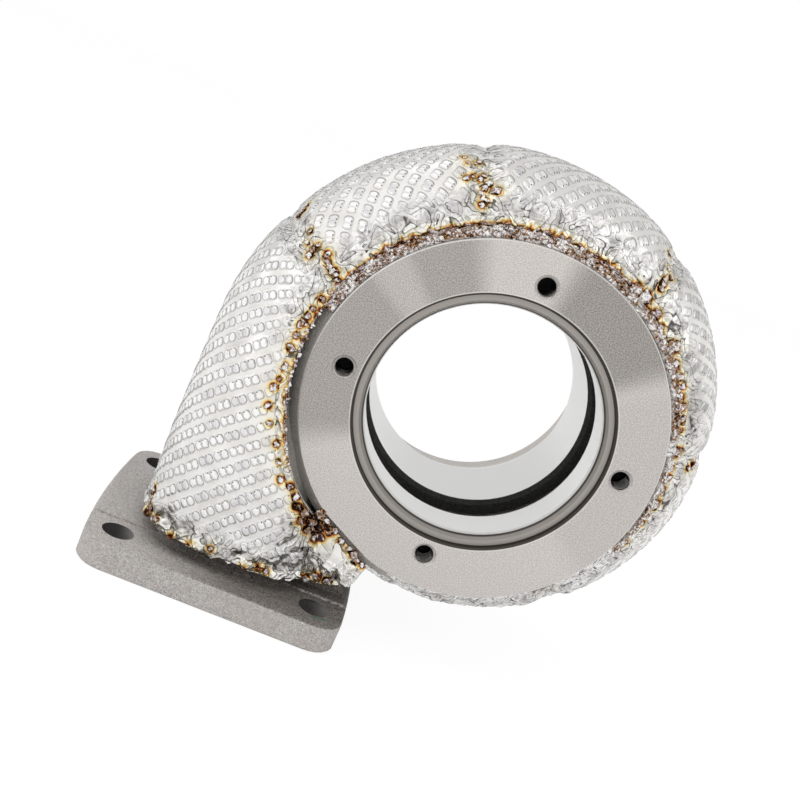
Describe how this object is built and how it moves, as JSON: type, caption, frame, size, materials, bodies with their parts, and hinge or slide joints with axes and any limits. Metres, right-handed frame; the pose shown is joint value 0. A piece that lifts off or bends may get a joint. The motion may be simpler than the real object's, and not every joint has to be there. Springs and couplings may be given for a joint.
{
  "type": "turbine housing",
  "caption": "Cast turbine housing of a turbocharger with a square inlet flange, a bolted bearing face, a clamped outlet and an embossed foil heat jacket over fibre mats.",
  "frame": {"origin": "centre of the inlet flange's bolt pattern, on its gasket face", "axes": "+Z out of the gasket face up the inlet neck; -Y out of the bearing ring's face, so +Y runs along the turbine axis to the outlet; +X from the neck towards the turbine axis"},
  "size_m": [0.25, 0.1475, 0.2324],
  "materials": {
    "cast_iron": "blasted casting with turned ring face and bores",
    "fibre_mat": "needled ceramic fibre",
    "embossed_foil": "bright embossed stainless foil",
    "welded_strip": "foil crushed and spot welded, with straw, brown and violet heat tint"
  },
  "bodies": {
    "root": {"volute_casting": "cast_iron", "neck_mat": "fibre_mat", "scroll_mat_1": "fibre_mat", "scroll_mat_2": "fibre_mat", "scroll_mat_3": "fibre_mat", "scroll_mat_4": "fibre_mat", "scroll_mat_5": "fibre_mat", "gusset_mat": "fibre_mat", "neck_foil": "embossed_foil", "scroll_foil_1": "embossed_foil", "scroll_foil_2": "embossed_foil", "scroll_foil_3": "embossed_foil", "scroll_foil_4": "embossed_foil", "scroll_foil_5": "embossed_foil", "gusset_foil": "embossed_foil", "seam_strip_1": "welded_strip", "seam_strip_2": "welded_strip", "seam_strip_3": "welded_strip", "seam_strip_4": "welded_strip", "seam_strip_5": "welded_strip", "seam_strip_6": "welded_strip", "gusset_strip": "welded_strip", "ring_edge_strip": "welded_strip", "outlet_edge_strip": "welded_strip", "neck_foot_strip": "welded_strip"}
  },
  "joints": []
}
